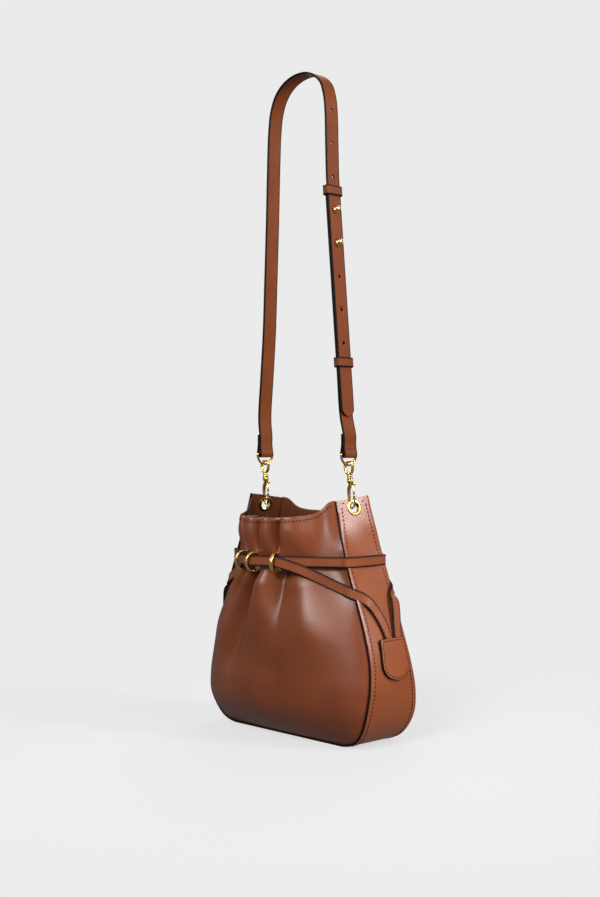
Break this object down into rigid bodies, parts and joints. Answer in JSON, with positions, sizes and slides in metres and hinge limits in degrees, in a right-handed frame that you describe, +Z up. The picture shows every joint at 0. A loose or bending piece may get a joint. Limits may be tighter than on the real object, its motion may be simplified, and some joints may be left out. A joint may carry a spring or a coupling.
{
  "type": "bucket bag",
  "caption": "Leather bucket bag: gathered front and rear panels on a wide gusset, drawstring belts through brass rings to side pull tabs, and a hooked adjustable shoulder strap.",
  "frame": {"origin": "on the ground under the middle of the bag", "axes": "+Z up, X along the bag's width, the front faces -Y"},
  "size_m": [0.2708, 0.1824, 0.7404],
  "materials": {
    "panel_leather": "smooth semi-gloss calf leather",
    "gusset_leather": "smooth semi-gloss calf leather with black painted cut edges",
    "belt_leather": "smooth calf leather, stitched, with dark painted edges",
    "tab_leather": "smooth calf leather, stitched, with dark painted edges",
    "strap_leather": "smooth calf leather with black painted edges",
    "brass": "polished",
    "ring_plate": "satin",
    "base_board": "matt fibre board"
  },
  "bodies": {
    "bag": {"base_board": "base_board", "belt_a": "belt_leather", "belt_b": "belt_leather", "belt_ring_front_centre": "brass", "belt_ring_front_left": "brass", "belt_ring_front_right": "brass", "belt_ring_rear_centre": "brass", "belt_ring_rear_left": "brass", "belt_ring_rear_right": "brass", "eyelet_left": "brass", "eyelet_right": "brass", "eyelet_washer_left": "brass", "eyelet_washer_right": "brass", "front_panel": "panel_leather", "gusset": "gusset_leather", "rear_panel": "panel_leather", "ring_plate_front_centre": "ring_plate", "ring_plate_front_left": "ring_plate", "ring_plate_front_right": "ring_plate", "ring_plate_rear_centre": "ring_plate", "ring_plate_rear_left": "ring_plate", "ring_plate_rear_right": "ring_plate"},
    "right_tab": {"tab_right": "tab_leather"},
    "left_tab": {"tab_left": "tab_leather"},
    "right_eye": {"swivel_eye_right": "brass"},
    "left_eye": {"swivel_eye_left": "brass"},
    "right_hook": {"hook_right": "brass"},
    "left_hook": {"hook_left": "brass"},
    "right_gate": {"gate_right": "brass"},
    "left_gate": {"gate_left": "brass"},
    "strap": {"dring_left": "brass", "dring_right": "brass", "strap_long": "strap_leather", "strap_short": "strap_leather", "stud_lower": "brass", "stud_screw_lower": "brass", "stud_screw_upper": "brass", "stud_upper": "brass", "keeper_upper": "strap_leather"},
    "keeper": {"keeper_lower": "strap_leather"}
  },
  "joints": [
    {"name": "right_tab_lift", "type": "hinge", "parent": "bag", "child": "right_tab", "pos_m": [0.12375, 0.007, 0.11494], "axis": [0, -1, 0], "range_deg": [0, 60]},
    {"name": "left_tab_lift", "type": "hinge", "parent": "bag", "child": "left_tab", "pos_m": [-0.12375, -0.007, 0.11494], "axis": [0, 1, 0], "range_deg": [0, 60]},
    {"name": "strap_swing", "type": "hinge", "parent": "bag", "child": "right_eye", "pos_m": [0.0699, 0, 0.2522], "axis": [1, 0, 0], "range_deg": [-30, 30]},
    {"name": "left_hook_swing", "type": "hinge", "parent": "bag", "child": "left_eye", "pos_m": [-0.0693, 0, 0.2522], "axis": [1, 0, 0], "range_deg": [-30, 30]},
    {"name": "strap_fold", "type": "hinge", "parent": "right_eye", "child": "strap", "pos_m": [0.06439, 0, 0.3096], "axis": [1, 0, 0], "range_deg": [-45, 45]},
    {"name": "keeper_slide", "type": "slide", "parent": "strap", "child": "keeper", "axis": [-0.0886, 0, 0.9961], "range_m": [-0.045, 0.11]},
    {"name": "right_hook_swivel", "type": "hinge", "parent": "right_eye", "child": "right_hook", "pos_m": [0.06642, 0, 0.28296], "axis": [-0.1392, 0, 0.9903], "range_deg": [-7, 35]},
    {"name": "right_gate_open", "type": "hinge", "parent": "right_hook", "child": "right_gate", "pos_m": [0.07108, -0.00133, 0.27614], "axis": [0.3387, 0.9397, 0.0476], "range_deg": [0, 20], "stiffness_Nm_per_rad": 0.02, "springref_deg": -11.46},
    {"name": "left_hook_swivel", "type": "hinge", "parent": "left_eye", "child": "left_hook", "pos_m": [-0.07078, 0, 0.28316], "axis": [-0.0593, 0, 0.9982], "range_deg": [-2, 35]},
    {"name": "left_gate_open", "type": "hinge", "parent": "left_hook", "child": "left_gate", "pos_m": [-0.06668, -0.00133, 0.27599], "axis": [0.3414, 0.9397, 0.0203], "range_deg": [0, 20], "stiffness_Nm_per_rad": 0.02, "springref_deg": -11.46}
  ],
  "couplings": [
    {"joint": "left_hook_swing", "follows": "strap_swing", "ratio": 1}
  ]
}
